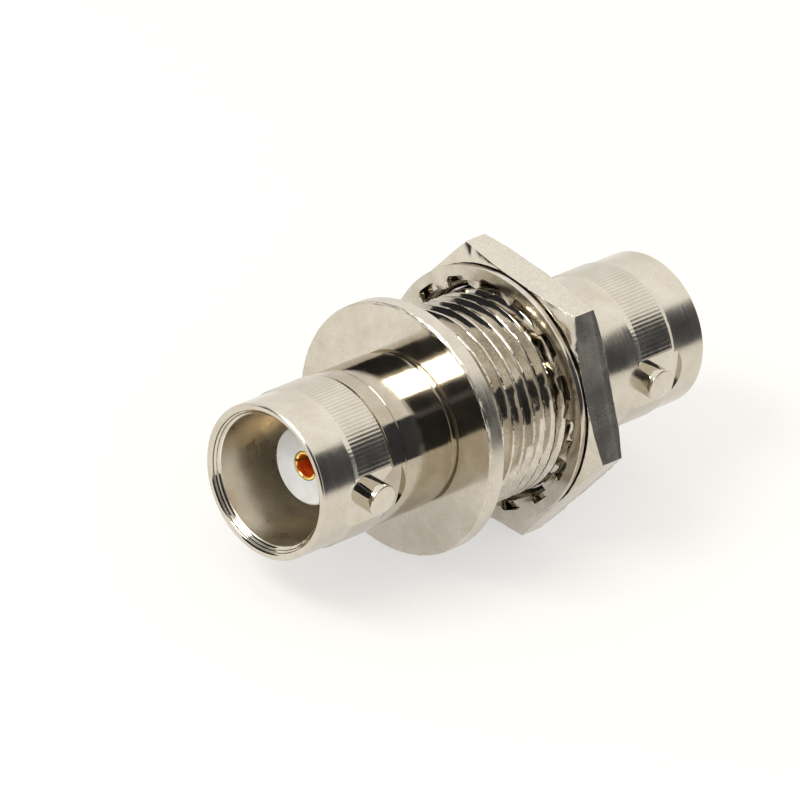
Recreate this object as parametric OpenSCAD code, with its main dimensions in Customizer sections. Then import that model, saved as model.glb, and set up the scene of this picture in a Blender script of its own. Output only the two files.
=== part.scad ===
// Bulkhead coaxial adapter with a bayonet jack at each end.
// The axis lies along X and +Z is up. The origin is on the axis, in the plane of the flange
// face that seats on the panel. The flange-side jack points to -X. The threaded barrel, the
// lock washer, the nut and the nut-side jack lie to +X. Sizes are in millimetres.

/* [Overall] */
// Distance from the panel seat to the mouth of the flange-side jack
front_len = 12.2; // [11.5:0.1:18]
// Distance from the panel seat to the mouth of the nut-side jack
rear_len = 20.85; // [20:0.05:30]

/* [Flange] */
// How far the flange stands out past the thread
flange_rim = 1.5; // [0.8:0.05:4]
// Thickness of the flange
flange_t = 1.15; // [0.8:0.05:2]
// Break on the turned outer edges
edge_break = 0.1; // [0.05:0.01:0.15]
// Width of the tool relief where the jack meets the flange
relief_w = 0.4; // [0.2:0.05:0.8]
// Depth of that relief
relief_depth = 0.1; // [0.05:0.01:0.2]

/* [Thread] */
// Major diameter of the thread (1/2-28)
thread_d = 12.7; // [11:0.1:16]
// Length of the threaded barrel from the panel seat
thread_len = 11.2; // [9.8:0.1:13]
// Chamfer at the start of the thread
lead_chamfer = 0.55; // [0.3:0.05:0.8]
// Radius of the blend from the barrel down to the nut-side jack
blend_r = 0.8; // [0.3:0.05:1.2]

/* [Jacks] */
// Outside diameter of both jack barrels
barrel_d = 9.65; // [9.4:0.05:12]
// Wall of the barrels at the mouth
wall_t = 0.765; // [0.6:0.005:1]
// Width of the flat rim at the mouth
rim_w = 0.325; // [0.2:0.005:0.45]
// Depth of the stepped bevel inside the mouth
mouth_depth = 0.45; // [0.3:0.05:0.8]
// Depth of the plain bore from the mouth
seat_depth = 8.4; // [7.5:0.1:9]
// Distance from the mouth to the raised fluted band
band_pos = 2.65; // [2:0.05:2.8]
// Width of the raised band
band_w = 3.2; // [2.5:0.1:3.4]
// Height of the raised band over the barrel
band_h = 0.1; // [0.05:0.01:0.2]

/* [Bayonet lugs] */
// Diameter of the two lugs of each jack
lug_d = 2; // [1.6:0.1:2.2]
// Height of the lugs over the barrel
lug_rise = 0.675; // [0.5:0.025:0.9]
// Distance from the mouth to the middle of the lugs
lug_pos = 4.45; // [3.8:0.05:4.6]
// Diameter of the cutter that spots the flat round each lug
spot_d = 5; // [3.6:0.1:5]
// Depth of the spotted flat below the barrel
spot_depth = 0.2; // [0.1:0.01:0.3]
// Roll of the lugs about the axis, in degrees
lug_roll = 85; // [0:1:180]

/* [Joint of the flange-side barrel] */
// Distance from the flange-side mouth to the joint ring on the neck
joint_pos = 7; // [6.8:0.1:7.2]
// Wall of the socket round the pressed spigot
socket_wall = 0.425; // [0.35:0.005:0.5]
// Clearance of the pressed spigot
press_gap = 0.01; // [0.005:0.005:0.02]

/* [Insulators] */
// Diameter of the insulator noses
nose_d = 4.86; // [4.6:0.02:5]
// Depth of the insulator faces below the mouths
face_depth = 3.4; // [3:0.1:4]
// Diameter of the insulators inside the body
insulator_d = 7; // [6.8:0.05:7.2]
// Bore of the lips that hold the insulators
lip_d = 6.4; // [6.2:0.05:6.5]
// Thickness of those lips
lip_t = 0.6; // [0.4:0.05:0.8]
// Radial fit of the insulators in the body
insulator_fit = 0.02; // [0.01:0.005:0.04]

/* [Centre contact] */
// Diameter of the contact
contact_d = 1.8; // [1.7:0.05:2]
// Diameter of the sockets at its two ends
socket_d = 1.35; // [1.3:0.01:1.4]
// Depth of the sockets
socket_depth = 4.5; // [4:0.1:5]
// Width of the slots that make the socket fingers
slot_w = 0.2; // [0.15:0.01:0.25]
// Length of those slots
slot_len = 4; // [3:0.1:4.2]
// Diameter of the shoulder trapped between the insulators
shoulder_d = 3; // [2.6:0.1:3.4]
// Width of that shoulder
shoulder_w = 2; // [1.5:0.1:3]
// Radial fit of the contact in the insulators
contact_fit = 0.02; // [0.01:0.005:0.04]

/* [Nut] */
// Wall of the nut outside the thread, at the middle of a flat
nut_wall = 1.6; // [1.2:0.05:4]
// Thickness of the nut
nut_t = 2.25; // [1.8:0.05:2.6]
// Distance from the panel seat to the flange-side face of the nut
nut_pos = 7.08; // [6.9:0.02:7.3]
// Angle of the nut's corner chamfers, in degrees
corner_angle = 17; // [12:1:25]
// Radial play of the nut on the plain thread
nut_play = 0.07; // [0.05:0.01:0.1]
// Width of the countersinks at both ends of the nut's bore
countersink_w = 0.45; // [0.3:0.05:0.6]
// Slope of those countersinks from the nut's faces, in degrees
countersink_angle = 45; // [30:1:50]

/* [Lock washer] */
// Radial play between the tooth tips and the thread
washer_play = 0.3; // [0.2:0.05:0.5]
// Length of the teeth
tooth_len = 0.65; // [0.5:0.05:0.8]
// Radial width of the washer's ring
ring_w = 0.65; // [0.5:0.05:0.8]
// Thickness of the washer's sheet
washer_t = 0.38; // [0.3:0.01:0.42]
// Number of teeth
teeth = 16; // [12:1:18]
// Width of the teeth at their roots
tooth_w = 1.3; // [1:0.05:1.5]
// Width of the teeth at their tips
tooth_tip_w = 1.1; // [0.8:0.05:1.2]
// Length of the flat stub between the ring and the twisted part of a tooth
stub_len = 0.25; // [0.15:0.05:0.35]
// Radius of the corners between the teeth and the ring
notch_r = 0.25; // [0.1:0.05:0.3]
// Twist of the teeth at their tips, in degrees
tooth_twist = 20; // [8:1:28]
// Gap between the teeth's high corners and the nut
washer_gap = 0.02; // [0.01:0.01:0.05]

/* [Hidden] */
$fn = 96;

thread_r = thread_d / 2;
flange_r = thread_r + flange_rim;
barrel_r = barrel_d / 2;
bore_r = barrel_r - wall_t;
rim_r = barrel_r - rim_w;
bevel_r = bore_r + 0.55 * (rim_r - bore_r);
entry_r = bore_r + 0.06;
band_r = barrel_r + band_h;
lug_r = barrel_r + lug_rise;
flat_r = barrel_r - spot_depth;
lead = min(lead_chamfer, 0.6 * (thread_r - barrel_r));
blend = min(blend_r, thread_r - lead - barrel_r);

front_mouth = -front_len;
rear_mouth = rear_len;
front_seat = front_mouth + seat_depth;
rear_seat = rear_mouth - seat_depth;
joint_x = front_mouth + joint_pos;
socket_r = barrel_r - socket_wall;
spigot_r = socket_r - press_gap;
lip_r = lip_d / 2;
collar_r = insulator_d / 2;
mid_x = (front_mouth + rear_mouth) / 2;

nose_r = nose_d / 2;
contact_r = contact_d / 2;
hole_r = contact_r + contact_fit;
shoulder_r = shoulder_d / 2;
front_face = front_mouth + face_depth;
rear_face = rear_mouth - face_depth;

tip_r = thread_r + washer_play;
root_r = tip_r + tooth_len;
stub_r = root_r - stub_len;
stub_w = tooth_w - 2 * PI * stub_len / teeth;
root_overlap = 0.12;
tooth_rise = (stub_w * sin(tooth_twist) + washer_t * cos(tooth_twist)) / 2;
washer_x = nut_pos - washer_gap - tooth_rise;
washer_r = root_r + ring_w;

nut_flat_r = thread_r + nut_wall;
nut_corner_r = nut_flat_r / cos(30);
nut_bore_r = thread_r + nut_play;
countersink_depth = countersink_w * tan(countersink_angle);
near_chamfer_r = nut_flat_r + 0.05;
far_chamfer_r = nut_flat_r + 0.45;

// Turns a profile of [radius, x] points about the X axis
module turned(profile) {
    rotate([0, 90, 0]) rotate_extrude() polygon(profile);
}

// Outline of a jack, from the back of its raised band round the rim to the lip that holds
// the insulator. "inward" is 1 when the jack opens to -X and -1 when it opens to +X.
function jack_outline(mouth, inward) = [for (p = [
    [barrel_r, band_pos + band_w], [band_r, band_pos + band_w], [band_r, band_pos],
    [barrel_r, band_pos], [barrel_r, edge_break], [barrel_r - edge_break, 0], [rim_r, 0],
    [bevel_r, 0.4 * mouth_depth], [entry_r, mouth_depth], [bore_r, mouth_depth],
    [bore_r, seat_depth], [lip_r, seat_depth], [lip_r, seat_depth + lip_t]])
    [p[0], mouth + inward * p[1]]];

// Spot faces cut round the lugs
module spots(x) {
    for (side = [0, 180])
        rotate([lug_roll - 90 + side, 0, 0]) translate([x, flat_r, 0]) rotate([-90, 0, 0])
            cylinder(d = spot_d, h = 2);
}

// The two bayonet lugs, turned to the lug radius
module lugs(x) {
    intersection() {
        for (side = [0, 180])
            rotate([lug_roll - 90 + side, 0, 0]) translate([x, flat_r - 0.3, 0]) rotate([-90, 0, 0])
                cylinder(d = lug_d, h = 2);
        translate([x - lug_d, 0, 0]) rotate([0, 90, 0]) cylinder(r = lug_r, h = 2 * lug_d);
    }
}

module main_body() {
    color([0.74, 0.71, 0.66]) {
        difference() {
            turned(concat(
                [[socket_r, joint_x], [barrel_r, joint_x],
                 [barrel_r, -flange_t - relief_w], [barrel_r - relief_depth, -flange_t - relief_w],
                 [barrel_r - relief_depth, -flange_t], [flange_r - edge_break, -flange_t],
                 [flange_r, -flange_t + edge_break], [flange_r, -edge_break],
                 [flange_r - edge_break, 0], [thread_r, 0],
                 [thread_r, thread_len - lead], [thread_r - lead, thread_len]],
                [for (a = [0:15:90]) [barrel_r + blend * (1 - sin(a)), thread_len + blend * (1 - cos(a))]],
                jack_outline(rear_mouth, -1),
                [[collar_r, rear_seat - lip_t], [collar_r, front_seat + lip_t],
                 [socket_r, front_seat + lip_t]]));
            spots(rear_mouth - lug_pos);
        }
        lugs(rear_mouth - lug_pos);
    }
}

module front_barrel() {
    color([0.8, 0.78, 0.74]) {
        difference() {
            turned(concat(
                jack_outline(front_mouth, 1),
                [[spigot_r, front_seat + lip_t], [spigot_r, joint_x], [barrel_r, joint_x]]));
            spots(front_mouth + lug_pos);
        }
        lugs(front_mouth + lug_pos);
    }
}

// One insulator: "dir" is 1 for the half whose nose faces -X and -1 for the other
module insulator(face, seat, dir) {
    turned([
        [hole_r, face], [nose_r - 0.1, face], [nose_r, face + dir * 0.1],
        [nose_r, seat], [lip_r - insulator_fit, seat], [lip_r - insulator_fit, seat + dir * (lip_t + insulator_fit)],
        [collar_r - insulator_fit, seat + dir * (lip_t + insulator_fit)], [collar_r - insulator_fit, mid_x - dir * insulator_fit / 2],
        [shoulder_r + contact_fit, mid_x - dir * insulator_fit / 2],
        [shoulder_r + contact_fit, mid_x - dir * (shoulder_w / 2 + insulator_fit)],
        [hole_r, mid_x - dir * (shoulder_w / 2 + insulator_fit)]]);
}

module front_insulator() {
    color([0.93, 0.92, 0.89]) insulator(front_face, front_seat, 1);
}

module rear_insulator() {
    color([0.93, 0.92, 0.89]) insulator(rear_face, rear_seat, -1);
}

module centre_contact() {
    color([0.83, 0.62, 0.3]) difference() {
        turned([
            [0, front_face], [contact_r - 0.08, front_face], [contact_r, front_face + 0.08],
            [contact_r, mid_x - shoulder_w / 2], [shoulder_r, mid_x - shoulder_w / 2],
            [shoulder_r, mid_x + shoulder_w / 2], [contact_r, mid_x + shoulder_w / 2],
            [contact_r, rear_face - 0.08], [contact_r - 0.08, rear_face], [0, rear_face]]);
        translate([front_face - 1, 0, 0]) rotate([0, 90, 0]) cylinder(d = socket_d, h = 1 + socket_depth);
        translate([rear_face - socket_depth, 0, 0]) rotate([0, 90, 0]) cylinder(d = socket_d, h = 1 + socket_depth);
        translate([front_face - 1, -contact_d, -slot_w / 2]) cube([1 + slot_len, 2 * contact_d, slot_w]);
        translate([rear_face - slot_len, -contact_d, -slot_w / 2]) cube([1 + slot_len, 2 * contact_d, slot_w]);
    }
}

// One gap between two teeth of the flat blank. Its sides run inwards from two rounded corners.
module notch() {
    half = PI * root_r / teeth - tooth_w / 2;
    arc_x = root_r - notch_r;
    polygon(concat(
        [[stub_r - 1, -half]],
        [for (a = [-90:15:0]) [arc_x + notch_r * cos(a), notch_r - half + notch_r * sin(a)]],
        [for (a = [0:15:90]) [arc_x + notch_r * cos(a), half - notch_r + notch_r * sin(a)]],
        [[stub_r - 1, half]]));
}

module lock_washer() {
    color([0.76, 0.73, 0.68]) {
        translate([washer_x - washer_t / 2, 0, 0]) rotate([0, 90, 0]) linear_extrude(washer_t) difference() {
            circle(r = washer_r);
            circle(r = stub_r);
            for (i = [0 : teeth - 1]) rotate(i * 360 / teeth + 180 / teeth) notch();
        }
        for (i = [0 : teeth - 1])
            rotate([i * 360 / teeth, 0, 0]) translate([washer_x, 0, -stub_r - root_overlap])
                linear_extrude(height = stub_r + root_overlap - tip_r, twist = -tooth_twist, slices = 6,
                               scale = [1, tooth_tip_w / stub_w], $fn = 4)
                    square([washer_t - 0.01, stub_w - 0.01], center = true);
    }
}

module hex_nut() {
    far_side = nut_pos + nut_t;
    chamfer_reach = nut_corner_r - nut_flat_r + 0.1;
    corner_fall = chamfer_reach * tan(corner_angle);
    color([0.7, 0.67, 0.62]) difference() {
        intersection() {
            translate([nut_pos, 0, 0]) rotate([0, 90, 0]) rotate([0, 0, 30])
                cylinder(r = nut_corner_r, h = nut_t, $fn = 6);
            turned([
                [0, nut_pos - 1], [near_chamfer_r, nut_pos - 1], [near_chamfer_r, nut_pos],
                [near_chamfer_r + chamfer_reach, nut_pos + corner_fall],
                [far_chamfer_r + chamfer_reach, far_side - corner_fall],
                [far_chamfer_r, far_side], [far_chamfer_r, far_side + 1], [0, far_side + 1]]);
        }
        turned([
            [0, nut_pos - 1], [nut_bore_r + countersink_w, nut_pos - 1],
            [nut_bore_r + countersink_w, nut_pos], [nut_bore_r, nut_pos + countersink_depth],
            [nut_bore_r, far_side - countersink_depth], [nut_bore_r + countersink_w, far_side],
            [nut_bore_r + countersink_w, far_side + 1], [0, far_side + 1]]);
    }
}

main_body();
front_barrel();
front_insulator();
rear_insulator();
centre_contact();
lock_washer();
hex_nut();
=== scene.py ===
from math import cos, pi, radians, sin, tau

import bmesh
import bpy
from mathutils import Matrix, Vector, noise


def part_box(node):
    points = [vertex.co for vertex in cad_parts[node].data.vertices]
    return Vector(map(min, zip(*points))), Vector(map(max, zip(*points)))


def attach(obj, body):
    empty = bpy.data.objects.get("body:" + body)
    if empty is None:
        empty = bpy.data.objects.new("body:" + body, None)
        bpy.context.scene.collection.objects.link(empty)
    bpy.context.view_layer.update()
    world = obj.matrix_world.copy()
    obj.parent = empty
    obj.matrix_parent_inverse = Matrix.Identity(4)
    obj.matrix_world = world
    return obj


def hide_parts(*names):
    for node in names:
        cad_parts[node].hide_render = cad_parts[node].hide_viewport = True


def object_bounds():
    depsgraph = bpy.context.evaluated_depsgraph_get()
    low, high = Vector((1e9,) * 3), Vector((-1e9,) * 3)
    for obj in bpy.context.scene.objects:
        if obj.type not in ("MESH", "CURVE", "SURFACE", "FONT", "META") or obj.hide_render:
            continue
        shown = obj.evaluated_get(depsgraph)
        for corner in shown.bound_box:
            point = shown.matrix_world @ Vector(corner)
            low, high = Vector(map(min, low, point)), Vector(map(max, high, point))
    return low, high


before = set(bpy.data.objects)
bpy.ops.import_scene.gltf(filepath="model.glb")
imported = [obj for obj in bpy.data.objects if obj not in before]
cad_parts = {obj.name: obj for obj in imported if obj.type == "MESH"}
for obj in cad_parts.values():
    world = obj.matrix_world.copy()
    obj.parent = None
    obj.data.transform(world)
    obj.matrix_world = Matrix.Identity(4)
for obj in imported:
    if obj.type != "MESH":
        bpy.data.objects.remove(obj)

cad_box = [list(corner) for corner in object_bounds()]
MM = 0.001


# ---- Camera, floor and light ------------------------------------------------------------------
# The connector lies on a sheet of paper, on one flat of its nut, inside a bright tent.
# Dark cards stand round it, because plated metal shows its form by what it mirrors.

camera = bpy.data.cameras.new("camera")
camera.lens = 437.4
camera.sensor_width = 36
camera.clip_start = 0.01
camera_object = bpy.data.objects.new("camera", camera)
bpy.context.scene.collection.objects.link(camera_object)
view_right = Vector((0.69023, -0.69829, 0.18972))
view_up = Vector((0.28048, 0.49988, 0.81943))
view_back = view_right.cross(view_up)
turn = Matrix((view_right, view_up, view_back)).transposed().to_4x4()
view_centre = Vector((0.054, 1.053, 1.064)) * MM
view_distance = 576.4 * MM
camera_object.matrix_world = Matrix.Translation(view_centre + view_back * view_distance) @ turn
bpy.context.scene.camera = camera_object
bpy.context.scene.view_settings.view_transform = "Standard"


def node_tree(owner):
    """Clears the owner's nodes and gives short ways to add a node and to link two sockets."""
    owner.use_nodes = True
    tree = owner.node_tree
    tree.nodes.clear()

    def add(kind, **settings):
        node = tree.nodes.new(kind)
        for name, value in settings.items():
            if name in node.inputs:
                node.inputs[name].default_value = value
            else:
                setattr(node, name, value)
        return node

    def link(source, target):
        tree.links.new(source, target)

    return add, link


def heading(azimuth, height):
    """The direction at an azimuth round Z, from +X, and at a height over the floor, in degrees."""
    flat = cos(radians(height))
    return Vector((flat * cos(radians(azimuth)), flat * sin(radians(azimuth)), sin(radians(height))))


world = bpy.data.worlds.new("tent")
bpy.context.scene.world = world
add, link = node_tree(world)
direction = add("ShaderNodeTexCoord")
split = add("ShaderNodeSeparateXYZ")
link(direction.outputs["Generated"], split.inputs[0])
cloth = add("ShaderNodeValToRGB")
link(split.outputs["Z"], cloth.inputs["Fac"])
cloth.color_ramp.elements[0].position = 0.0
cloth.color_ramp.elements[0].color = (1.0, 0.985, 0.95, 1)
cloth.color_ramp.elements[1].position = 0.7
cloth.color_ramp.elements[1].color = (1.2, 1.185, 1.15, 1)
surroundings = add("ShaderNodeBackground", Strength=1.0)
link(cloth.outputs["Color"], surroundings.inputs["Color"])
link(surroundings.outputs[0], add("ShaderNodeOutputWorld").inputs["Surface"])

bm = bmesh.new()
bmesh.ops.create_grid(bm, x_segments=1, y_segments=1, size=0.6)
bmesh.ops.translate(bm, verts=bm.verts, vec=(0, 0, cad_box[0][2]))
floor_mesh = bpy.data.meshes.new("table_top")
bm.to_mesh(floor_mesh)
bm.free()
table_top = bpy.data.objects.new("table_top", floor_mesh)
bpy.context.scene.collection.objects.link(table_top)
paper = bpy.data.materials.new("warm_white_paper")
add, link = node_tree(paper)
sheet = add("ShaderNodeBsdfPrincipled", Roughness=0.9)
sheet.inputs["Base Color"].default_value = (0.76, 0.73, 0.67, 1)
whitening = 0.55  # how far the sheet is lifted to white where it is looked at or mirrored
backing = add("ShaderNodeEmission", Strength=1.0)
backing.inputs["Color"].default_value = (1, 1, 1, 1)
rays = add("ShaderNodeLightPath")
looked_at = add("ShaderNodeMath", operation="MAXIMUM")
link(rays.outputs["Is Camera Ray"], looked_at.inputs[0])
mirrored = add("ShaderNodeMath", operation="MAXIMUM")
link(rays.outputs["Is Glossy Ray"], mirrored.inputs[0])
link(rays.outputs["Is Transmission Ray"], mirrored.inputs[1])
link(mirrored.outputs[0], looked_at.inputs[1])
seen = add("ShaderNodeMath", operation="MULTIPLY")
link(looked_at.outputs[0], seen.inputs[0])
seen.inputs[1].default_value = whitening
lift = add("ShaderNodeMixShader")
link(seen.outputs[0], lift.inputs["Fac"])
link(sheet.outputs[0], lift.inputs[1])
link(backing.outputs[0], lift.inputs[2])
link(lift.outputs[0], add("ShaderNodeOutputMaterial").inputs["Surface"])
floor_mesh.materials.append(paper)


def facing_in(towards, distance):
    """Gives the placing of a flat thing that stands in a direction and faces the connector."""
    turned_in = towards.to_track_quat("Z", "Y").to_matrix().to_4x4()
    return Matrix.Translation(towards * distance) @ turned_in


def soft_box(name, towards, distance, size, watts):
    """A soft light of that width and height, which faces the connector."""
    lamp = bpy.data.lights.new(name, "AREA")
    lamp.shape = "RECTANGLE"
    lamp.size, lamp.size_y = size
    lamp.energy = watts
    lamp_object = bpy.data.objects.new(name, lamp)
    bpy.context.scene.collection.objects.link(lamp_object)
    lamp_object.matrix_world = facing_in(towards, distance)


def dark_card(name, towards, distance, width, height, grey=0.04):
    """A felt card that only the metal's mirror sees: it takes no light away and hides nothing."""
    felt = bpy.data.materials.new(name + "_felt")
    add, link = node_tree(felt)
    nap = add("ShaderNodeBsdfPrincipled", Roughness=1.0)
    nap.inputs["Base Color"].default_value = (grey * 0.9, grey, grey * 1.35, 1)
    link(nap.outputs[0], add("ShaderNodeOutputMaterial").inputs["Surface"])
    bm = bmesh.new()
    bmesh.ops.create_grid(bm, x_segments=1, y_segments=1, size=0.5)
    bmesh.ops.scale(bm, verts=bm.verts, vec=(width, height, 1))
    bmesh.ops.transform(bm, matrix=facing_in(towards, distance), verts=bm.verts)
    card_mesh = bpy.data.meshes.new(name)
    bm.to_mesh(card_mesh)
    bm.free()
    card_mesh.materials.append(felt)
    card = bpy.data.objects.new(name, card_mesh)
    bpy.context.scene.collection.objects.link(card)
    card.visible_camera = card.visible_diffuse = card.visible_shadow = False


soft_box("key_box", heading(167, 46), 0.32, size=(0.15, 0.085), watts=0.6)
dark_card("right_card", heading(-52, 18), 0.3, 0.24, 0.26)
dark_card("left_card", heading(137, 19.5), 0.3, 0.21, 0.19, grey=0.015)
dark_card("camera_card", heading(213, 25), 0.3, 0.27, 0.29, grey=0.015)
dark_card("camera_stripe", heading(213, 37), 0.29, 0.2, 0.018, grey=0.2)
dark_card("far_card", heading(75, 22), 0.3, 0.05, 0.2)


# ---- Main body --------------------------------------------------------------------------------
# One piece turned from brass bar: the neck, the flange, the 1/2-28 thread and the nut-side jack.
# Bright nickel plate covers it. The neck stays a mirror, its colour darkened as painted shade, and the jack
# is left satin.

NICKEL = (0.655, 0.61, 0.53)


def nickel(name, gloss, rings=0.0004, grain=0.00025, cloud=0.12, pits=0.0, speckle=0.05,
           streaks=1.0, flutes=None, colour=NICKEL):
    """Nickel plate. Gloss lists (x, roughness) along the axis in millimetres. Rings and grain are
    the depths of the turning marks and of the fine tooth, cloud and speckle how far the tone
    wanders, broadly and from grain to grain, and pits how dark the pinholes are. Streaks is how
    far the gloss follows the turning marks, and flutes the radii from valley to crest over which
    painted shade, with some dirt, darkens the colour towards each flute's valley."""
    material = bpy.data.materials.new(name)
    add, link = node_tree(material)
    marks_per_mm, marks_round_per_mm = 5.5, 0.3
    noise_low, noise_high = 0.36, 0.64  # a noise stays between these nearly everywhere
    pinhole_tone, pinhole_depth = 0.35, 0.004
    cloudy_gloss, mirror_limit = 1.1, 0.02

    def value(operation, first, second=0.0):
        node = add("ShaderNodeMath", operation=operation)
        for socket, given in zip(node.inputs, (first, second)):
            if isinstance(given, (int, float)):
                socket.default_value = given
            else:
                link(given, socket)
        return node.outputs[0]

    in_mm = add("ShaderNodeVectorMath", operation="SCALE", Scale=1 / MM)
    link(add("ShaderNodeTexCoord").outputs["Object"], in_mm.inputs[0])
    place = in_mm.outputs[0]
    axes = add("ShaderNodeSeparateXYZ")
    link(place, axes.inputs[0])
    radius = value("SQRT", value("ADD", value("POWER", axes.outputs["Y"], 2.0),
                                 value("POWER", axes.outputs["Z"], 2.0)))

    # Turning marks follow the radius on a face and the length on a barrel, and run out slowly
    marks_at = add("ShaderNodeCombineXYZ")
    along_cut = value("ADD", radius, axes.outputs["X"])
    link(value("MULTIPLY", along_cut, marks_per_mm), marks_at.inputs["X"])
    link(value("MULTIPLY", axes.outputs["Y"], marks_round_per_mm), marks_at.inputs["Y"])
    link(value("MULTIPLY", axes.outputs["Z"], marks_round_per_mm), marks_at.inputs["Z"])
    marks = add("ShaderNodeTexNoise", Scale=1.0, Detail=5.0, Roughness=0.7)
    link(marks_at.outputs[0], marks.inputs["Vector"])
    clouds = add("ShaderNodeTexNoise", Scale=0.45, Detail=6.0, Roughness=0.62)
    link(place, clouds.inputs["Vector"])
    tooth = add("ShaderNodeTexNoise", Scale=9.0, Detail=3.0, Roughness=0.7)
    link(place, tooth.inputs["Vector"])
    holes = add("ShaderNodeTexVoronoi", Scale=3.0, feature="F1")
    link(place, holes.inputs["Vector"])
    hole = add("ShaderNodeMapRange", **{"From Min": 0.05, "From Max": 0.14, "To Min": 1.0, "To Max": 0.0})
    link(holes.outputs["Distance"], hole.inputs["Value"])

    tone = add("ShaderNodeValToRGB")
    low, high = tone.color_ramp.elements
    low.position, high.position = noise_low, noise_high
    warmer = (1.0, 0.98, 0.94)
    low.color = (*[channel * (1 - cloud) * warm for channel, warm in zip(colour, warmer)], 1)
    high.color = (*colour, 1)
    link(clouds.outputs["Fac"], tone.inputs["Fac"])
    specks = add("ShaderNodeMix", data_type="RGBA")
    link(value("MULTIPLY", hole.outputs[0], pits), specks.inputs["Factor"])
    link(tone.outputs["Color"], specks.inputs["A"])
    specks.inputs["B"].default_value = (*[channel * pinhole_tone for channel in colour], 1)

    flecks = add("ShaderNodeMapRange", **{"From Min": noise_low, "From Max": noise_high,
                                          "To Min": 1 - speckle, "To Max": 1 + speckle})
    link(tooth.outputs["Fac"], flecks.inputs["Value"])
    flecked = add("ShaderNodeVectorMath", operation="SCALE")
    link(specks.outputs["Result"], flecked.inputs[0])
    link(flecks.outputs[0], flecked.inputs["Scale"])
    # Painted shade, with some dirt: the colour darkens from each flute's crest down to its valley, by
    # radius.
    if flutes:
        valley_shade_and_dirt = add("ShaderNodeMapRange", **{"From Min": flutes[0], "From Max": flutes[1],
                                            "To Min": 0.8, "To Max": 1.03})
        link(radius, valley_shade_and_dirt.inputs["Value"])
        link(value("MULTIPLY", flecks.outputs[0], valley_shade_and_dirt.outputs[0]), flecked.inputs["Scale"])

    first_x, last_x = gloss[0][0], gloss[-1][0] + 0.001
    along = add("ShaderNodeMapRange", **{"From Min": first_x, "From Max": last_x})
    link(axes.outputs["X"], along.inputs["Value"])
    shine = add("ShaderNodeValToRGB")
    span = last_x - first_x
    for number, (x, roughness) in enumerate(gloss):
        stop = (x - first_x) / span
        if number < 2:
            point = shine.color_ramp.elements[number]
            point.position = stop
        else:
            point = shine.color_ramp.elements.new(stop)
        point.color = (roughness, roughness, roughness, 1)
    if len(gloss) == 1:
        shine.color_ramp.elements[1].color = shine.color_ramp.elements[0].color
    link(along.outputs[0], shine.inputs["Fac"])
    by_cloud = value("MULTIPLY", value("SUBTRACT", clouds.outputs["Fac"], 0.5), cloudy_gloss)
    by_mark = value("MULTIPLY", value("SUBTRACT", marks.outputs["Fac"], 0.5), streaks)
    wander = value("ADD", 1.0, value("ADD", by_cloud, by_mark))
    roughness = value("MAXIMUM", value("MULTIPLY", shine.outputs["Color"], wander), mirror_limit)

    relief = value("ADD", value("MULTIPLY", marks.outputs["Fac"], rings),
                   value("MULTIPLY", tooth.outputs["Fac"], grain))
    relief = value("SUBTRACT", relief, value("MULTIPLY", hole.outputs[0], pinhole_depth * pits))
    bump = add("ShaderNodeBump", Strength=1.0, Distance=MM)
    link(relief, bump.inputs["Height"])

    plate = add("ShaderNodeBsdfPrincipled", Metallic=1.0)
    link(flecked.outputs[0], plate.inputs["Base Color"])
    link(roughness, plate.inputs["Roughness"])
    link(bump.outputs[0], plate.inputs["Normal"])
    link(plate.outputs[0], add("ShaderNodeOutputMaterial").inputs["Surface"])
    return material


def eased(profile, radius=0.03, steps=3):
    """Rounds the corners of a closed outline and stiffens each long side with a point at its ends."""
    out = []
    for at, corner in enumerate(profile):
        corner = Vector(corner)
        before, after = Vector(profile[at - 1]), Vector(profile[(at + 1) % len(profile)])
        back, ahead = (before - corner), (after - corner)
        if back.normalized().dot(ahead.normalized()) < -0.95:
            out.append(tuple(corner))
            continue
        cut = min(radius, 0.35 * back.length, 0.35 * ahead.length)
        first, last = corner + back.normalized() * cut, corner + ahead.normalized() * cut
        if back.length > 8 * cut:
            out.append(tuple(first + back.normalized() * cut * 0.6))
        for k in range(steps + 1):
            t = k / steps
            out.append(tuple(first.lerp(corner, t).lerp(corner.lerp(last, t), t)))
        if ahead.length > 8 * cut:
            out.append(tuple(last + ahead.normalized() * cut * 0.6))
    return out


def as_object(bm, name, sharp=32):
    """Stores a bmesh as an object at the origin, smooth but for the edges over the sharp angle."""
    mesh = bpy.data.meshes.new(name)
    bm.to_mesh(mesh)
    bm.free()
    piece = bpy.data.objects.new(name, mesh)
    bpy.context.scene.collection.objects.link(piece)
    shade(piece, sharp)
    return piece


def shade(piece, sharp=32):
    piece.data.polygons.foreach_set("use_smooth", [True] * len(piece.data.polygons))
    piece.data.set_sharp_from_angle(angle=radians(sharp))


def turned(name, profile, steps=192):
    """Turns a closed outline of (radius, x) points, in millimetres, about the X axis."""
    bm = bmesh.new()
    corners = [bm.verts.new((x * MM, 0, radius * MM)) for radius, x in profile]
    edges = [bm.edges.new(pair) for pair in zip(corners, corners[1:] + corners[:1])]
    bmesh.ops.spin(bm, geom=corners + edges, cent=(0, 0, 0), axis=(1, 0, 0), angle=tau, steps=steps,
                   use_merge=True, use_duplicate=False)
    bmesh.ops.remove_doubles(bm, verts=bm.verts, dist=1e-7)
    bmesh.ops.recalc_face_normals(bm, faces=bm.faces)
    return as_object(bm, name)


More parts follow.
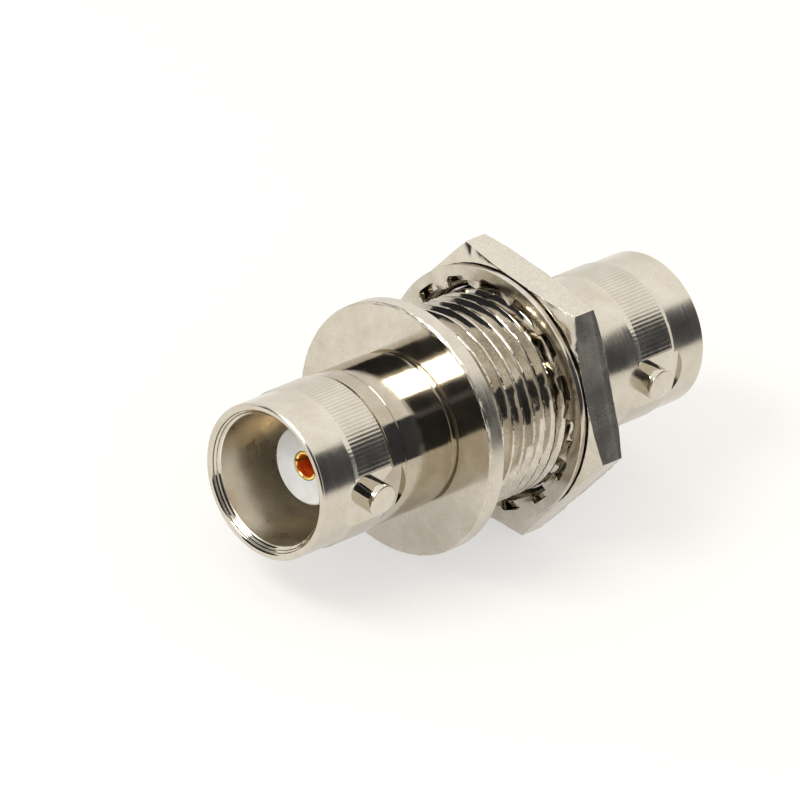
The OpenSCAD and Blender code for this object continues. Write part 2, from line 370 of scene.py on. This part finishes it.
def work(piece, tool, operation="DIFFERENCE"):
    """Cuts the tool from the piece, or joins or crosses them, and throws the tool away."""
    change = piece.modifiers.new("work", "BOOLEAN")
    change.operation = operation
    change.solver = "EXACT"
    change.object = tool
    bpy.context.view_layer.update()
    result = bpy.data.meshes.new_from_object(piece.evaluated_get(bpy.context.evaluated_depsgraph_get()))
    piece.modifiers.clear()
    old, name = piece.data, piece.data.name
    piece.data = result
    bpy.data.meshes.remove(old)
    result.name = name
    bpy.data.objects.remove(tool)


BARREL_RADIUS = 4.825
BORE_RADIUS = 4.06


def jack_outline(mouth, inward):
    """A jack's outline from behind its band over the rim's stepped bevel and in to the lip."""
    floor_depth, lip_radius, lip_end = 8.4, 3.2, 9.0
    steps = [(BARREL_RADIUS, 5.92), (BARREL_RADIUS, 2.58), (BARREL_RADIUS, 0.11), (4.715, 0.0), (4.5, 0.0),
             (4.37, 0.1), (4.36, 0.2), (4.25, 0.28), (4.23, 0.36), (4.12, 0.45), (BORE_RADIUS, 0.5),
             (BORE_RADIUS, floor_depth), (lip_radius, floor_depth), (lip_radius, lip_end)]
    return [(radius, mouth + inward * depth) for radius, depth in steps]


def fluted_band(name, near, far):
    """The raised ring round a jack: fine straight flutes all the way round, run out at both ends."""
    flutes, flute_depth = 124, 0.0062
    root, band, core = 4.81, 4.916, 4.5
    run_out, shoulder, drop = 0.25, 0.04, 0.002
    bm = bmesh.new()
    first = bmesh.ops.create_circle(bm, segments=4 * flutes, radius=root * MM)["verts"]
    first_edges = list({edge for vert in first for edge in vert.link_edges})
    loop = first_edges
    for rise, radius, crest in ((run_out, band - drop, flute_depth), (shoulder, band, flute_depth),
                                (far - near - 2 * (run_out + shoulder), band, flute_depth),
                                (shoulder, band - drop, flute_depth), (run_out, root, 0),
                                (0, core, 0), (near - far, core, 0)):
        made = bmesh.ops.extrude_edge_only(bm, edges=loop)["geom"]
        verts = [v for v in made if isinstance(v, bmesh.types.BMVert)]
        loop = [e for e in made if isinstance(e, bmesh.types.BMEdge)]
        for vert in verts:
            turn_now = Vector((vert.co.x, vert.co.y)).angle_signed(Vector((1, 0)))
            reach = radius + crest * cos(turn_now * flutes)
            vert.co.xy = vert.co.xy.normalized() * reach * MM
            vert.co.z += rise * MM
    bmesh.ops.bridge_loops(bm, edges=first_edges + loop)
    bmesh.ops.rotate(bm, verts=bm.verts, cent=(0, 0, 0), matrix=Matrix.Rotation(pi / 2, 3, "Y"))
    bmesh.ops.translate(bm, verts=bm.verts, vec=(near * MM, 0, 0))
    bmesh.ops.recalc_face_normals(bm, faces=bm.faces)
    return as_object(bm, name)


LUG_TURNS = (radians(-5), radians(175))
LUG_DEPTH = 4.45
LUG_RADIUS, LUG_TIP = 1.0, 5.5
SPOT_RADIUS, SPOT_HEIGHT = 2.5, 4.625


def round_stud(name, x, roll, radius, bottom, top, segments=64):
    """A short round bar that points out from the axis at a roll from +Y towards +Z."""
    bm = bmesh.new()
    bmesh.ops.create_cone(bm, cap_ends=True, segments=segments, radius1=radius * MM, radius2=radius * MM,
                          depth=(top - bottom) * MM)
    bmesh.ops.translate(bm, verts=bm.verts, vec=(0, 0, (top + bottom) / 2 * MM))
    bmesh.ops.rotate(bm, verts=bm.verts, cent=(0, 0, 0), matrix=Matrix.Rotation(roll - pi / 2, 3, "X"))
    bmesh.ops.translate(bm, verts=bm.verts, vec=(x * MM, 0, 0))
    return as_object(bm, name)


def add_lugs(piece, x):
    """Spots a flat round each bayonet lug, then sets the lug, its tip turned round, in its middle."""
    for roll in LUG_TURNS:
        work(piece, round_stud("spot_cutter", x, roll, SPOT_RADIUS, SPOT_HEIGHT, 7.0, 96))
    for roll in LUG_TURNS:
        lug = round_stud("lug", x, roll, LUG_RADIUS, 4.3, 7.0)
        gauge = [(0.5, x - 3), (LUG_TIP, x - 3), (LUG_TIP, x + 3), (0.5, x + 3)]
        work(lug, turned("lug_gauge", gauge, 360), "INTERSECT")
        bm = bmesh.new()
        bm.from_mesh(lug.data)
        bmesh.ops.remove_doubles(bm, verts=bm.verts, dist=1e-7)
        tip = [edge for edge in bm.edges if edge.is_manifold and edge.calc_face_angle() > radians(50)
               and min(v.co.yz.length for v in edge.verts) > (LUG_TIP - 0.2) * MM]
        bmesh.ops.bevel(bm, geom=tip, offset=0.08 * MM, segments=3, profile=0.5, affect="EDGES",
                        material=-1)
        bm.to_mesh(lug.data)
        bm.free()
        work(piece, lug, "UNION")


def nick(piece, test, depth, scale, across=0.0):
    """Dents the points that pass the test towards the axis, and a little along it, as knocks do."""
    for vert in piece.data.vertices:
        place = vert.co / MM
        if test(place):
            vert.co.yz *= 1 - depth / place.yz.length * min(1, 2.5 * abs(noise.noise(place * scale)))
            vert.co.x += across * MM * noise.noise(place * scale * 1.3)


def crisp_spots(piece):
    """Keeps the edge of each spotted flat crisp, though it meets the barrel at a low angle."""
    out = Vector((0, cos(LUG_TURNS[0]), sin(LUG_TURNS[0])))
    for edge in piece.data.edges:
        ends = (piece.data.vertices[k].co for k in edge.vertices)
        if all(abs(abs(end.dot(out)) / MM - SPOT_HEIGHT) < 0.001 for end in ends):
            edge.use_edge_sharp = True


def finish_zones(piece, zones):
    """Gives each face the first material whose test its middle (x, y, z in millimetres) passes."""
    piece.data.materials.clear()
    for material, _ in zones:
        piece.data.materials.append(material)
    for face in piece.data.polygons:
        place = face.center / MM
        face.material_index = next(k for k, (_, test) in enumerate(zones) if test(place))


def on_lug(lug_x):
    """Tells the faces of the two lugs."""
    def test(place):
        out = Vector((0, cos(LUG_TURNS[0]), sin(LUG_TURNS[0])))
        height = abs(place.dot(out))
        aside = (place - Vector((lug_x, 0, 0)) - out * place.dot(out)).length
        return aside < LUG_RADIUS + 0.02 and height > SPOT_HEIGHT - 0.025
    return test


front_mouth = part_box("front_barrel")[0][0] / MM
joint_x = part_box("main_body")[0][0] / MM
rear_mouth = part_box("main_body")[1][0] / MM

socket_radius, socket_floor, core_radius = 4.4, -3.2, 3.5
groove_radius, groove_x = 4.725, -1.55
flange_radius, flange_x, flange_ease = 7.85, -1.15, 0.1
thread_radius, root_radius, thread_end = 6.35, 5.8, 11.2
outline = [(socket_radius, joint_x), (BARREL_RADIUS, joint_x), (BARREL_RADIUS, groove_x),
           (groove_radius, groove_x), (groove_radius, flange_x), (4.95, flange_x), (7.4, flange_x),
           (7.6, flange_x), (flange_radius - flange_ease, flange_x), (flange_radius, flange_x + flange_ease),
           (flange_radius, -flange_ease), (flange_radius - flange_ease, 0.0), (root_radius, 0.0),
           (root_radius, 0.3), (thread_radius, 0.8), (thread_radius, 10.65), (root_radius, thread_end)]
blend_radius = 0.8
for angle in (0, 15, 30, 45, 60, 75, 90):
    outline.append((BARREL_RADIUS + blend_radius * (1 - sin(radians(angle))),
                    thread_end + blend_radius * (1 - cos(radians(angle)))))
outline += jack_outline(rear_mouth, -1)
outline += [(core_radius, rear_mouth - 9.0), (core_radius, socket_floor), (socket_radius, socket_floor)]
body = turned("main_body_turned", eased(outline))
band_start, band_end = 2.65, 5.85
work(body, fluted_band("rear_band", rear_mouth - band_end, rear_mouth - band_start), "UNION")
add_lugs(body, rear_mouth - LUG_DEPTH)

# The thread: a rounded V groove cut by a helical tool, one pitch forward a turn
pitch = 25.4 / 28
tool_steps = 96
first_groove_x = 0.3
half_groove = [(0.05, 5.8), (0.084, 5.815), (0.352, 6.28), (0.366, 6.32), (0.384, 6.343), (0.4, 6.352),
               (0.4, 6.6)]
section = [(-half, radius) for half, radius in half_groove]
section += [(half, radius) for half, radius in reversed(half_groove)]
bm = bmesh.new()
corners = [bm.verts.new(((first_groove_x + across) * MM, 0, radius * MM)) for across, radius in section]
edges = [bm.edges.new(pair) for pair in zip(corners, corners[1:] + corners[:1])]
cut_turns = 13.5
bmesh.ops.spin(bm, geom=corners + edges, cent=(0, 0, 0), axis=(1, 0, 0), angle=-tau * cut_turns,
               steps=int(tool_steps * cut_turns), dvec=(pitch / tool_steps * MM, 0, 0), use_duplicate=False)
bmesh.ops.holes_fill(bm, edges=bm.edges, sides=0)
bmesh.ops.recalc_face_normals(bm, faces=bm.faces)
work(body, as_object(bm, "thread_tool"))

# Knocks along the flange's front edge and burrs on the thread's crests
nick(body, lambda place: place.yz.length > 7.68 and place.x < -1.02, 0.05, 11.3, 0.03)
nick(body, lambda place: 6.3 < place.yz.length < 6.5 and 0.5 < place.x < 11, 0.025, 2.9)
shade(body)
crisp_spots(body)

# Painted shade: the neck's plate is given a darker, browner colour than the rest of the plate.
shaded_neck_nickel = nickel("shaded_neck_nickel", [(-6.9, 0.2), (-6.3, 0.1), (-5.6, 0.06), (-1.2, 0.05)],
                     rings=0.004, grain=0.0, cloud=0.2, speckle=0.03, streaks=5.0,
                     colour=(0.53, 0.475, 0.385))
satin_nickel = nickel("satin_nickel", [(-12.0, 0.19), (0.0, 0.2)], pits=0.25)
fluted_nickel = nickel("fluted_nickel", [(0.0, 0.22)], flutes=(4.91, 4.922))
flange_nickel = nickel("flange_nickel", [(-1.16, 0.05), (-1.12, 0.3)], rings=0.0006, grain=0.0001,
                       cloud=0.16, pits=0.2)
thread_nickel = nickel("thread_nickel", [(0.0, 0.07)], rings=0.0016, grain=0.0006, cloud=0.3, speckle=0.12)
polished_nickel = nickel("polished_nickel", [(0.0, 0.06)], rings=0.0001, grain=0.0001)
# Painted light: the bore's plate is given a brighter, warmer colour than the outside, which lifts the bore
# out of its own shade.
bore_nickel = nickel("bore_nickel", [(0.0, 0.31)], rings=0.0002, grain=0.0, cloud=0.2,
                     streaks=0.3, colour=(0.9, 0.82, 0.68))
rear_jack_x = 12
band_foot = 4.89
finish_zones(body, [
    (polished_nickel, on_lug(rear_mouth - LUG_DEPTH)),
    (bore_nickel, lambda place: place.yz.length < BORE_RADIUS + 0.04 and place.x > rear_jack_x),
    (polished_nickel, lambda place: place.yz.length < 4.6 and place.x > rear_jack_x),
    (fluted_nickel, lambda place: place.x > rear_jack_x and place.yz.length > band_foot),
    (satin_nickel, lambda place: place.x > rear_jack_x),
    (thread_nickel, lambda place: place.x > 0.001),
    (flange_nickel, lambda place: place.x > -1.16 and place.yz.length > 4.75),
    (shaded_neck_nickel, lambda place: True)])
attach(body, "adapter")
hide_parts("main_body")


# ---- Flange-side barrel -----------------------------------------------------------------------
# A separate turned jack, with its spigot pressed into the body's socket up to a fine ring joint.
# The same nickel plate covers it: satin at the mouth, and polished where it meets the neck, with its colour
# there darkened as painted shade.

spigot_radius = 4.39
outline = jack_outline(front_mouth, 1)
outline += [(spigot_radius, front_mouth + 9.0), (spigot_radius, joint_x), (BARREL_RADIUS, joint_x)]
barrel = turned("front_barrel_turned", eased(outline))
work(barrel, fluted_band("front_band", front_mouth + band_start, front_mouth + band_end), "UNION")
add_lugs(barrel, front_mouth + LUG_DEPTH)
shade(barrel)
crisp_spots(barrel)
finish_zones(barrel, [
    (polished_nickel, on_lug(front_mouth + LUG_DEPTH)),
    (bore_nickel, lambda place: place.yz.length < BORE_RADIUS + 0.04),
    (polished_nickel, lambda place: place.yz.length < 4.6),
    (fluted_nickel, lambda place: band_foot < place.yz.length < 5.0),
    (satin_nickel, lambda place: place.x < -6.9),
    (shaded_neck_nickel, lambda place: True)])
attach(barrel, "adapter")
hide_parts("front_barrel")


# ---- Insulators -------------------------------------------------------------------------------
# Two turned fluoropolymer noses, one behind each mouth, that meet in the middle of the body.
# They are milky and slightly see-through, with a soft gloss and faint tool rings on the face.

milk = bpy.data.materials.new("milky_fluoropolymer")
add, link = node_tree(milk)
in_mm = add("ShaderNodeVectorMath", operation="SCALE", Scale=1 / MM)
link(add("ShaderNodeTexCoord").outputs["Object"], in_mm.inputs[0])
haze = add("ShaderNodeTexNoise", Scale=0.9, Detail=5.0, Roughness=0.6)
link(in_mm.outputs[0], haze.inputs["Vector"])
tint = add("ShaderNodeValToRGB")
tint.color_ramp.elements[0].position = 0.3
tint.color_ramp.elements[0].color = (0.5, 0.515, 0.52, 1)
tint.color_ramp.elements[1].position = 0.7
tint.color_ramp.elements[1].color = (0.6, 0.61, 0.61, 1)
link(haze.outputs["Fac"], tint.inputs["Fac"])
axes = add("ShaderNodeSeparateXYZ")
link(in_mm.outputs[0], axes.inputs[0])
across = add("ShaderNodeCombineXYZ")
link(axes.outputs["Y"], across.inputs["X"])
link(axes.outputs["Z"], across.inputs["Y"])
reach = add("ShaderNodeVectorMath", operation="LENGTH")
link(across.outputs[0], reach.inputs[0])
tool_rings = add("ShaderNodeTexNoise", noise_dimensions="1D", Scale=9.0, Detail=3.0, Roughness=0.6)
link(reach.outputs["Value"], tool_rings.inputs["W"])
soft_rings = add("ShaderNodeBump", Strength=1.0, Distance=MM)
ring_depth = add("ShaderNodeMath", operation="MULTIPLY")
link(tool_rings.outputs["Fac"], ring_depth.inputs[0])
ring_depth.inputs[1].default_value = 0.004
link(ring_depth.outputs[0], soft_rings.inputs["Height"])
plastic = add("ShaderNodeBsdfPrincipled", Roughness=0.36)
plastic.inputs["IOR"].default_value = 1.38
plastic.inputs["Subsurface Weight"].default_value = 0.25
plastic.inputs["Subsurface Radius"].default_value = (1.0, 1.0, 1.0)
plastic.inputs["Subsurface Scale"].default_value = 0.5 * MM
link(tint.outputs["Color"], plastic.inputs["Base Color"])
link(soft_rings.outputs[0], plastic.inputs["Normal"])
link(plastic.outputs[0], add("ShaderNodeOutputMaterial").inputs["Surface"])

middle_x = (front_mouth + rear_mouth) / 2
for node, mouth, inward in (("front_insulator", front_mouth, 1), ("rear_insulator", rear_mouth, -1)):
    face, seat, end = mouth + inward * 3.4, mouth + inward * 8.4, middle_x - inward * 0.01
    lip_back, pocket_floor = seat + inward * 0.62, middle_x - inward * 1.02
    hole, nose_radius, neck_radius, body_radius, pocket = 0.92, 2.43, 3.18, 3.48, 1.52
    outline = [(hole, face + inward * 0.02), (0.98, face), (2.33, face), (nose_radius, face + inward * 0.1),
               (nose_radius, seat), (neck_radius, seat), (neck_radius, lip_back), (body_radius, lip_back),
               (body_radius, end), (pocket, end), (pocket, pocket_floor), (hole, pocket_floor)]
    nose = turned(node + "_turned", eased(outline, 0.05), 128)
    nose.data.materials.append(milk)
    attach(nose, "adapter")
    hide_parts(node)


# ---- Centre contact ---------------------------------------------------------------------------
# A gold-plated bronze pin with a socket at each end, slit into two springy fingers.
# The plate is bright outside. Inside the socket, where it only sees itself, a darker deep red-gold copy of
# it is painted shade and painted reflection.

def gold(name, light, dark, roughness, metallic=1.0):
    material = bpy.data.materials.new(name)
    add, link = node_tree(material)
    in_mm = add("ShaderNodeVectorMath", operation="SCALE", Scale=1 / MM)
    link(add("ShaderNodeTexCoord").outputs["Object"], in_mm.inputs[0])
    wear = add("ShaderNodeTexNoise", Scale=2.5, Detail=4.0, Roughness=0.6)
    link(in_mm.outputs[0], wear.inputs["Vector"])
    shift = add("ShaderNodeValToRGB")
    for point, position, colour in zip(shift.color_ramp.elements, (0.35, 0.65), (dark, light)):
        point.position, point.color = position, (*colour, 1)
    link(wear.outputs["Fac"], shift.inputs["Fac"])
    matt = add("ShaderNodeMapRange", **{"To Min": roughness * 0.6, "To Max": roughness * 1.5})
    link(wear.outputs["Fac"], matt.inputs["Value"])
    fine = add("ShaderNodeBump", Strength=1.0, Distance=MM)
    depth = add("ShaderNodeMath", operation="MULTIPLY")
    link(wear.outputs["Fac"], depth.inputs[0])
    depth.inputs[1].default_value = 0.004
    link(depth.outputs[0], fine.inputs["Height"])
    metal = add("ShaderNodeBsdfPrincipled", Metallic=metallic)
    link(shift.outputs["Color"], metal.inputs["Base Color"])
    link(matt.outputs[0], metal.inputs["Roughness"])
    link(fine.outputs[0], metal.inputs["Normal"])
    link(metal.outputs[0], add("ShaderNodeOutputMaterial").inputs["Surface"])
    return material


near_end, far_end = front_mouth + 3.4, rear_mouth - 3.4
near_shoulder, far_shoulder = middle_x - 1.0, middle_x + 1.0
socket, pin_radius, shoulder_radius, drill_point = 0.675, 0.9, 1.5, 0.004
pin = turned("centre_contact_turned", eased(
    [(socket, near_end + 0.06), (0.74, near_end), (0.82, near_end), (pin_radius, near_end + 0.08),
     (pin_radius, near_shoulder), (shoulder_radius, near_shoulder), (shoulder_radius, far_shoulder),
     (pin_radius, far_shoulder), (pin_radius, far_end - 0.08), (0.82, far_end), (0.74, far_end),
     (socket, far_end - 0.06), (socket, far_end - 4.5), (drill_point, far_end - 4.8),
     (drill_point, near_end + 4.8), (socket, near_end + 4.5)], 0.02), 96)
slit_width, slit_depth = 0.2, 4
for low, high in ((near_end - 1, near_end + slit_depth), (far_end - slit_depth, far_end + 1)):
    bm = bmesh.new()
    bmesh.ops.create_cube(bm, size=1)
    bmesh.ops.scale(bm, verts=bm.verts, vec=((high - low) * MM, 4 * MM, slit_width * MM))
    bmesh.ops.translate(bm, verts=bm.verts, vec=((low + high) / 2 * MM, 0, 0))
    work(pin, as_object(bm, "slitting_saw"))
shade(pin)
bright_gold = gold("bright_gold", (0.95, 0.68, 0.2), (0.78, 0.5, 0.12), 0.14)
# Painted shade and painted reflection: a darker, redder copy of the gold for the faces inside the sockets.
socket_painted_shade_gold = gold("socket_painted_shade_gold", (0.9, 0.16, 0.02), (0.6, 0.07, 0.01), 0.3, 0.4)
finish_zones(pin, [
    (socket_painted_shade_gold, lambda place: place.yz.length < socket + 0.005),
    (bright_gold, lambda place: True)])
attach(pin, "adapter")
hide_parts("centre_contact")


# ---- Lock washer ------------------------------------------------------------------------------
# Spring steel ring punched from sheet, its sixteen inner teeth twisted out of flat, then plated.
# The punch leaves rounded notches and bright rolled edges on the ring and on every tooth.

def edged(node, name, width, over, dissolve=0.6):
    """A copy of a CAD node's shape, its triangles joined into faces and its sharp edges eased."""
    bm = bmesh.new()
    bm.from_mesh(bpy.data.objects[node].data)
    bmesh.ops.remove_doubles(bm, verts=bm.verts, dist=1e-7)
    bmesh.ops.dissolve_limit(bm, angle_limit=radians(dissolve), verts=bm.verts, edges=bm.edges)
    rims = [edge for edge in bm.edges if edge.is_manifold and edge.calc_face_angle() > radians(over)]
    bmesh.ops.bevel(bm, geom=rims, offset=width * MM, segments=2, profile=0.5, affect="EDGES", material=-1,
                    clamp_overlap=True)
    return as_object(bm, name)


def weighted(piece):
    """Keeps the broad faces flat in their shading next to narrow eased edges."""
    keep_flat = piece.modifiers.new("keep_flat", "WEIGHTED_NORMAL")
    keep_flat.keep_sharp = True


washer = edged("lock_washer", "lock_washer_edged", width=0.03, over=40)
weighted(washer)
washer.data.materials.clear()
washer.data.materials.append(nickel("washer_nickel", [(0.0, 0.13)], rings=0.0002, grain=0.0012, cloud=0.25))
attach(washer, "washer")
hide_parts("lock_washer")


# ---- Hex nut ----------------------------------------------------------------------------------
# A brass nut from hexagon bar: both faces and the corners turned, and the bore countersunk.
# Its flats keep the grainy skin of the drawn bar under the plate, with bright burred edges.

nut_near, nut_far = (corner[0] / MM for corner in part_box("hex_nut"))
nut_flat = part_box("hex_nut")[1][2] / MM
bm = bmesh.new()
bmesh.ops.create_circle(bm, cap_ends=True, segments=6, radius=nut_flat / cos(pi / 6) * MM)
pushed = bmesh.ops.extrude_face_region(bm, geom=bm.faces[:])["geom"]
bmesh.ops.translate(bm, verts=[v for v in pushed if isinstance(v, bmesh.types.BMVert)],
                    vec=(0, 0, (nut_far - nut_near + 1) * MM))
bmesh.ops.rotate(bm, verts=bm.verts, cent=(0, 0, 0), matrix=Matrix.Rotation(pi / 2, 3, "Y"))
bmesh.ops.translate(bm, verts=bm.verts, vec=((nut_near - 0.5) * MM, 0, 0))
bmesh.ops.recalc_face_normals(bm, faces=bm.faces)
nut = as_object(bm, "hex_nut_turned")
slope, near_face, far_face, past_corner = 0.306, 8.0, 8.4, 9.6
work(nut, turned("corner_tool", [(5.0, nut_near), (near_face, nut_near),
                                 (past_corner, nut_near + (past_corner - near_face) * slope),
                                 (past_corner, nut_far - (past_corner - far_face) * slope),
                                 (far_face, nut_far), (5.0, nut_far)], 192), "INTERSECT")
bore, sunk, sink_depth = 6.42, 6.87, 0.45
work(nut, turned("bore_tool", [(4.5, nut_near - 1), (sunk, nut_near - 1), (sunk, nut_near),
                               (bore, nut_near + sink_depth), (bore, nut_far - sink_depth), (sunk, nut_far),
                               (sunk, nut_far + 1), (4.5, nut_far + 1)], 128))
bm = bmesh.new()
bm.from_mesh(nut.data)
bmesh.ops.remove_doubles(bm, verts=bm.verts, dist=1e-7)
corners = [edge for edge in bm.edges if edge.is_manifold and edge.calc_face_angle() > radians(50)
           and edge.calc_length() > 0.8 * MM]
bmesh.ops.subdivide_edges(bm, edges=corners, cuts=9)
rims = [edge for edge in bm.edges if edge.is_manifold and edge.calc_face_angle() > radians(14)]
bmesh.ops.bevel(bm, geom=rims, offset=0.028 * MM, segments=2, profile=0.5, affect="EDGES", material=-1,
                clamp_overlap=True)
bm.to_mesh(nut.data)
bm.free()
nick(nut, lambda place: place.yz.length > 7.96 and min(place.x - nut_near, nut_far - place.x) < 0.6,
     0.03, 11.3)
shade(nut, 40)
weighted(nut)
flat_nickel = nickel("bar_skin_nickel", [(0.0, 0.27)], rings=0.0, grain=0.0008, cloud=0.05,
                     pits=0.3, speckle=0.12, streaks=0.0)
turned_face_nickel = nickel("nut_face_nickel", [(0.0, 0.15)], rings=0.0003, grain=0.0004,
                            cloud=0.14)
nut.data.materials.clear()
for material in (flat_nickel, turned_face_nickel):
    nut.data.materials.append(material)
for face in nut.data.polygons:
    face.material_index = 0 if abs(face.normal.x) < 0.1 and face.center.yz.length > 7.5 * MM else 1
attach(nut, "nut")
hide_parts("hex_nut")
